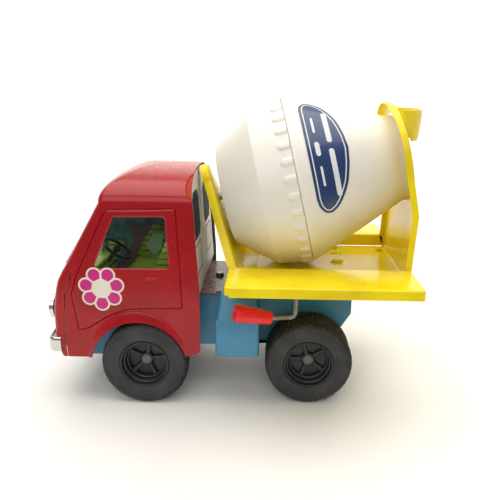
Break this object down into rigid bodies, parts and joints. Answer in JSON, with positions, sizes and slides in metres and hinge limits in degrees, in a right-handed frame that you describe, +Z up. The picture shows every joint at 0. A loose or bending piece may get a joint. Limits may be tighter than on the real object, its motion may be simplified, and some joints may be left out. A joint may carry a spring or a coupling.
{
  "type": "toy cement mixer truck",
  "caption": "Pressed-tin toy mixer truck: red cab, blue chassis, and a lever-tipped yellow bed that carries a free-turning ribbed drum.",
  "frame": {"origin": "on the ground, under the middle of the truck's outer box", "axes": "X runs from the cab to the tail, Y across the truck (its left side is -Y), Z up"},
  "size_m": [0.2052, 0.1356, 0.1664],
  "materials": {
    "red_tin": "glossy enamel",
    "yellow_tin": "glossy enamel",
    "maroon_tin": "glossy lacquer",
    "printed_tin": "printed and varnished",
    "seat_print": "printed and varnished",
    "blue_plastic": "satin moulded",
    "white_plastic": "satin moulded",
    "red_plastic": "glossy moulded",
    "black_plastic": "moulded",
    "black_rubber": "matt",
    "bright_metal": "polished",
    "steel": "plain wire",
    "clear": "clear",
    "pink_paper": "printed",
    "navy_paper": "printed"
  },
  "bodies": {
    "truck": {"cab_shell": "red_tin", "cab_front_panel": "red_tin", "cab_rear_wall": "printed_tin", "side_windows": "clear", "windscreen": "clear", "cab_floor": "maroon_tin", "seat_left": "seat_print", "seat_right": "seat_print", "dashboard": "seat_print", "steering_wheel": "black_plastic", "grille": "bright_metal", "headlamp_left": "bright_metal", "headlamp_right": "bright_metal", "headlamp_left_lens": "clear", "headlamp_right_lens": "clear", "front_bumper": "bright_metal", "bumper_stays": "bright_metal", "flower_stickers": "pink_paper", "chassis": "blue_plastic", "chassis_cover": "maroon_tin", "cover_screws": "black_plastic", "lever_saddles": "steel", "hinge_bracket": "steel"},
    "front_wheels": {"front_axle": "steel", "front_tyre_left": "black_rubber", "front_hub_left": "black_plastic", "front_cap_left": "black_plastic", "front_tyre_right": "black_rubber", "front_hub_right": "black_plastic", "front_cap_right": "black_plastic"},
    "rear_wheels": {"rear_axle": "steel", "rear_outer_tyre_left": "black_rubber", "rear_inner_tyre_left": "black_rubber", "rear_hub_left": "black_plastic", "rear_cap_left": "black_plastic", "rear_outer_tyre_right": "black_rubber", "rear_inner_tyre_right": "black_rubber", "rear_hub_right": "black_plastic", "rear_cap_right": "black_plastic"},
    "lever": {"lever_wire": "steel", "lever_grip": "red_plastic"},
    "bed": {"mixer_bed": "yellow_tin", "front_support": "yellow_tin", "rear_support": "yellow_tin", "pouring_funnel": "yellow_tin", "support_rivets": "yellow_tin", "drum_pin": "steel", "drum_push_nut": "steel", "hinge_pin": "steel"},
    "drum": {"drum_base_shell": "white_plastic", "drum_cone_shell": "white_plastic", "drum_labels": "navy_paper"}
  },
  "joints": [
    {"name": "front_axle_spin", "type": "hinge", "parent": "truck", "child": "front_wheels", "pos_m": [-0.048, 0, 0.0242], "axis": [0, 1, 0], "continuous": true},
    {"name": "rear_axle_spin", "type": "hinge", "parent": "truck", "child": "rear_wheels", "pos_m": [0.0426, 0, 0.0242], "axis": [0, 1, 0], "continuous": true},
    {"name": "lever_lift", "type": "hinge", "parent": "truck", "child": "lever", "pos_m": [0.0338, 0, 0.0681], "axis": [0, 1, 0], "range_deg": [0, 80]},
    {"name": "bed_tip", "type": "hinge", "parent": "truck", "child": "bed", "pos_m": [0.062, 0, 0.0681], "axis": [0, 1, 0], "range_deg": [0, 40]},
    {"name": "drum_spin", "type": "hinge", "parent": "bed", "child": "drum", "pos_m": [0.0352, 0, 0.12], "axis": [0.9744, 0, 0.225], "continuous": true}
  ],
  "couplings": [
    {"joint": "bed_tip", "follows": "lever_lift", "ratio": 0.5}
  ]
}
